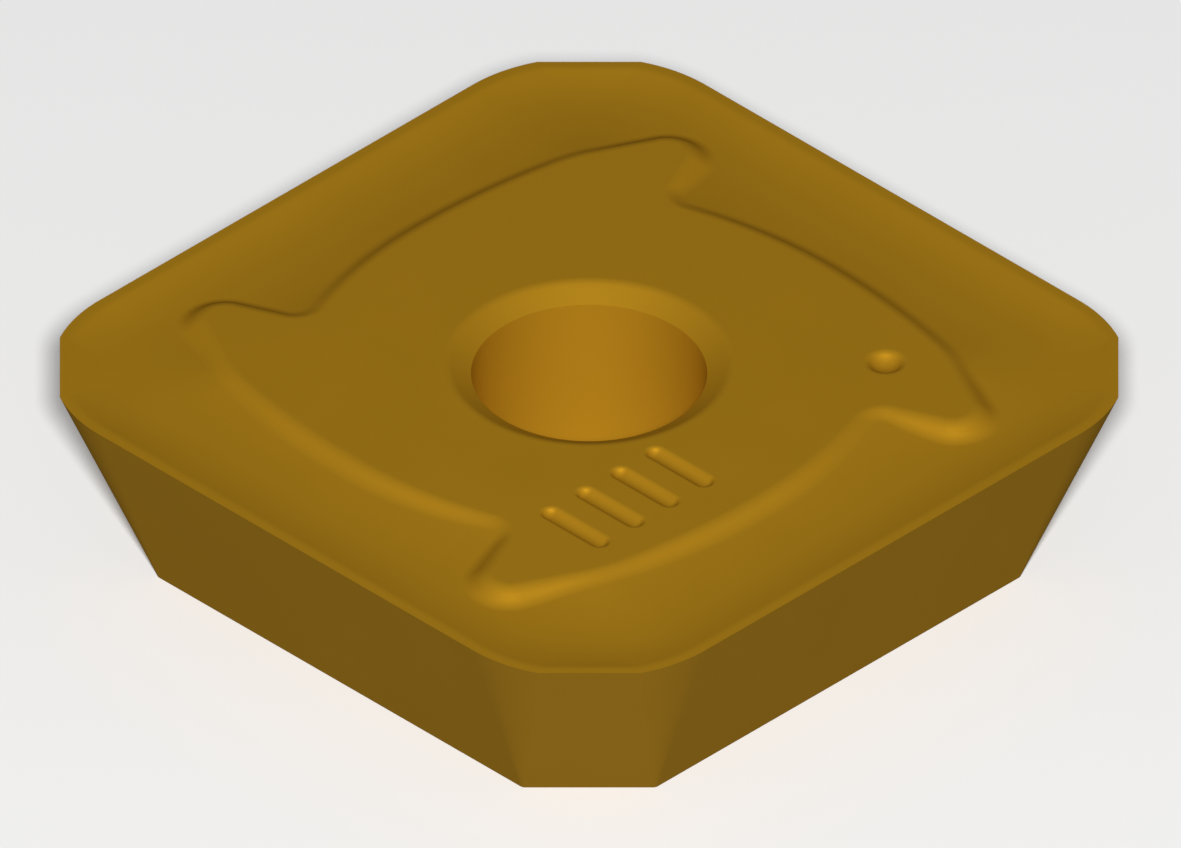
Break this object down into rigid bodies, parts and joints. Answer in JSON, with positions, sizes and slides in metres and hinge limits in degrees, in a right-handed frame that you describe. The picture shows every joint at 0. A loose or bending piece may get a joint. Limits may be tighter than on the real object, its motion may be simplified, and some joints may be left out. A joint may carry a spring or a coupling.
{
  "type": "carbide insert",
  "caption": "Square milling insert with wiper flats, a raised pinwheel chip breaker and a countersunk screw bore.",
  "frame": {"origin": "centre of the screw bore on the flat seat face", "axes": "+Z from the seat towards the chip face; +X and +Y are the outward directions of two neighbouring sides"},
  "size_m": [0.0126, 0.0126, 0.0032],
  "materials": {
    "coated_carbide": "satin"
  },
  "bodies": {
    "root": {"insert": "coated_carbide"}
  },
  "joints": []
}
